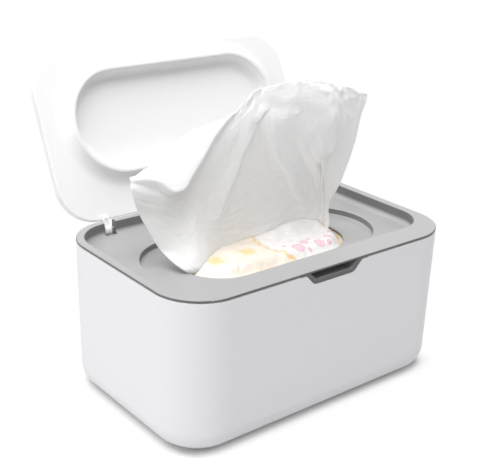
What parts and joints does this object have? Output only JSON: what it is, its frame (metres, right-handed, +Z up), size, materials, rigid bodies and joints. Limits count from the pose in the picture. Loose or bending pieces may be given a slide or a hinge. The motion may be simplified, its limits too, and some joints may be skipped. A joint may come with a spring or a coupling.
{
  "type": "wipes dispenser",
  "caption": "Table-top box for wet wipes with a lift-off grey cover, a hinged sealing lid and a pack of wipes inside.",
  "frame": {"origin": "middle of the underside of the rubber pad that the box stands on", "axes": "+Z up, +X along the long side to the right seen from the front, -Y to the front with the finger pull"},
  "size_m": [0.19, 0.1664, 0.1757],
  "materials": {
    "white_box": "fine matte",
    "white_lid": "satin",
    "grey_plastic": "fine matte",
    "grey_rubber": "matte",
    "steel_pin": "bright",
    "white_seal": "soft satin",
    "printed_film": "glossy printed film",
    "wipe_cloth": "damp nonwoven"
  },
  "bodies": {
    "container": {"body_shell": "white_box", "base_pad": "grey_rubber", "pack_film": "printed_film", "wipe_stack": "wipe_cloth", "pulled_wipe": "wipe_cloth"},
    "cover": {"top_cover": "grey_plastic", "hinge_pin_left": "steel_pin", "hinge_pin_right": "steel_pin"},
    "lid": {"lid_top_shell": "white_lid", "lid_inner_panel": "white_lid", "lid_seal_ring": "white_seal"}
  },
  "joints": [
    {"name": "cover_lift", "type": "slide", "parent": "container", "child": "cover", "axis": [0, 0, 1], "range_m": [0, 0.06], "deforming": ["pulled_wipe"]},
    {"name": "lid_hinge", "type": "hinge", "parent": "cover", "child": "lid", "pos_m": [0, 0.059, 0.0845], "axis": [1, 0, 0], "range_deg": [0, 114.5], "deforming": ["pulled_wipe"]}
  ]
}
